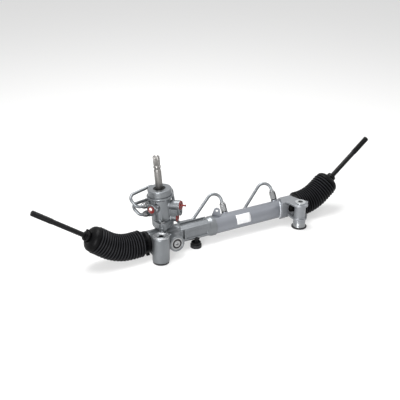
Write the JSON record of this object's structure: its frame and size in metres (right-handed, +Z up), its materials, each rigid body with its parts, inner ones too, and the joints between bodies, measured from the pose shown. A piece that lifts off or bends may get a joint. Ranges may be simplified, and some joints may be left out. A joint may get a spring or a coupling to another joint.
{
  "type": "power steering rack",
  "caption": "Hydraulic rack-and-pinion steering gear: cast housing with valve tower, cylinder tube, pressure pipes, bellows and swivelling tie rods.",
  "frame": {"origin": "on the axis of the left mounting eye, level with the rack's axis", "axes": "+X along the rack from the pinion end to the cylinder end, +Y to the rear, across the rack, away from the two mounting eyes, +Z up along the mounting bolts"},
  "size_m": [0.9659, 0.1422, 0.2417],
  "materials": {
    "cast_aluminium": "satin die casting",
    "tube_steel": "satin silver coat",
    "zinc_pipe": "dull zinc coat",
    "bright_zinc": "bright zinc coat",
    "blackened_steel": "black coat",
    "machined_steel": "turned and ground, bare",
    "bearing_steel": "ground bright",
    "turned_aluminium": "turned",
    "black_rubber": "matte",
    "clamp_steel": "dark satin coat",
    "forged_steel": "black phosphate",
    "red_plastic": "soft gloss",
    "white_plastic": "plain",
    "seal_plastic": "filled low-friction plastic"
  },
  "bodies": {
    "housing": {"cylinder_tube": "tube_steel", "foot_rubber": "black_rubber", "foot_stud": "blackened_steel", "inner_bulkhead": "turned_aluminium", "input_shaft_bearing": "bearing_steel", "input_shaft_dust_seal": "black_rubber", "left_boot": "black_rubber", "left_boot_clamp": "clamp_steel", "left_chamber_pipe": "zinc_pipe", "left_mount_rubber": "black_rubber", "left_mount_sleeve": "bright_zinc", "outer_bulkhead": "turned_aluminium", "pinion_bearing_outer_race": "bearing_steel", "pinion_bottom_plug": "machined_steel", "pinion_bush": "machined_steel", "pinion_housing": "cast_aluminium", "pinion_oil_seal": "black_rubber", "pipe_bracket_tab": "tube_steel", "pipe_nuts": "bright_zinc", "port_plugs": "red_plastic", "port_seals": "black_rubber", "rack_seals": "black_rubber", "right_boot": "black_rubber", "right_boot_clamp": "clamp_steel", "right_bracket": "tube_steel", "right_chamber_pipe": "zinc_pipe", "right_mount_rubber": "black_rubber", "right_mount_sleeve": "bright_zinc", "right_mount_washer": "bright_zinc", "tower_cap": "cast_aluminium", "valve_housing": "cast_aluminium", "valve_housing_bolts": "blackened_steel", "yoke": "turned_aluminium", "yoke_liner": "seal_plastic", "yoke_lock_ring": "black_rubber", "yoke_plug": "machined_steel", "yoke_spring": "blackened_steel"},
    "rack": {"rack_bar": "machined_steel", "piston": "turned_aluminium", "piston_ring": "seal_plastic", "left_ball_housing": "forged_steel", "right_ball_housing": "forged_steel", "left_lock_washer": "machined_steel", "right_lock_washer": "machined_steel"},
    "pinion": {"pinion": "machined_steel", "torsion_bar": "machined_steel", "valve_sleeve": "machined_steel", "valve_sleeve_rings": "seal_plastic", "pinion_bearing_inner_race": "bearing_steel", "pinion_nut": "machined_steel"},
    "bearing_cage": {"pinion_bearing_balls": "bearing_steel", "pinion_bearing_cage": "bearing_steel"},
    "input_shaft": {"input_shaft": "machined_steel", "torsion_bar_pin": "machined_steel"},
    "left_tilt": {"left_ball_seat": "white_plastic"},
    "left_swing": {"left_boot_clip": "clamp_steel"},
    "left_rod": {"left_tie_rod": "forged_steel"},
    "right_tilt": {"right_ball_seat": "white_plastic"},
    "right_swing": {"right_boot_clip": "clamp_steel"},
    "right_rod": {"right_tie_rod": "forged_steel"}
  },
  "joints": [
    {"name": "rack_slide", "type": "slide", "parent": "housing", "child": "rack", "axis": [1, 0, 0], "range_m": [-0.054, 0.07], "deforming": ["left_boot", "right_boot"]},
    {"name": "pinion_turn", "type": "hinge", "parent": "housing", "child": "pinion", "pos_m": [0.043, 0.065, -0.00116], "axis": [-0.0698, 0.0696, 0.9951], "range_deg": [-405, 524.7]},
    {"name": "bearing_cage_turn", "type": "hinge", "parent": "housing", "child": "bearing_cage", "pos_m": [0.04433, 0.06368, -0.02007], "axis": [-0.0698, 0.0696, 0.9951], "range_deg": [-144.8, 187.4]},
    {"name": "input_twist", "type": "hinge", "parent": "pinion", "child": "input_shaft", "pos_m": [0.03533, 0.07265, 0.1083], "axis": [-0.0698, 0.0696, 0.9951], "range_deg": [-5, 5], "stiffness_Nm_per_rad": 100},
    {"name": "left_rod_tilt", "type": "hinge", "parent": "rack", "child": "left_tilt", "pos_m": [-0.0923, 0.0484, 0], "axis": [0, 1, 0], "range_deg": [-66, 1]},
    {"name": "left_rod_swing", "type": "hinge", "parent": "left_tilt", "child": "left_swing", "pos_m": [-0.0923, 0.0484, 0], "axis": [-0.5519, 0, -0.8339], "range_deg": [-18.3, 5.7]},
    {"name": "left_rod_spin", "type": "hinge", "parent": "left_swing", "child": "left_rod", "pos_m": [-0.0923, 0.0484, 0], "axis": [-0.8288, 0.1097, 0.5486], "continuous": true},
    {"name": "right_rod_tilt", "type": "hinge", "parent": "rack", "child": "right_tilt", "pos_m": [0.469, 0.0484, 0], "axis": [0, -1, 0], "range_deg": [-66, 1]},
    {"name": "right_rod_swing", "type": "hinge", "parent": "right_tilt", "child": "right_swing", "pos_m": [0.469, 0.0484, 0], "axis": [-0.5519, 0, 0.8339], "range_deg": [-18.3, 5.7]},
    {"name": "right_rod_spin", "type": "hinge", "parent": "right_swing", "child": "right_rod", "pos_m": [0.469, 0.0484, 0], "axis": [0.8288, 0.1097, 0.5486], "continuous": true}
  ],
  "couplings": [
    {"joint": "pinion_turn", "follows": "rack_slide", "rad_per_m": 130.57},
    {"joint": "bearing_cage_turn", "follows": "rack_slide", "rad_per_m": 46.471}
  ]
}
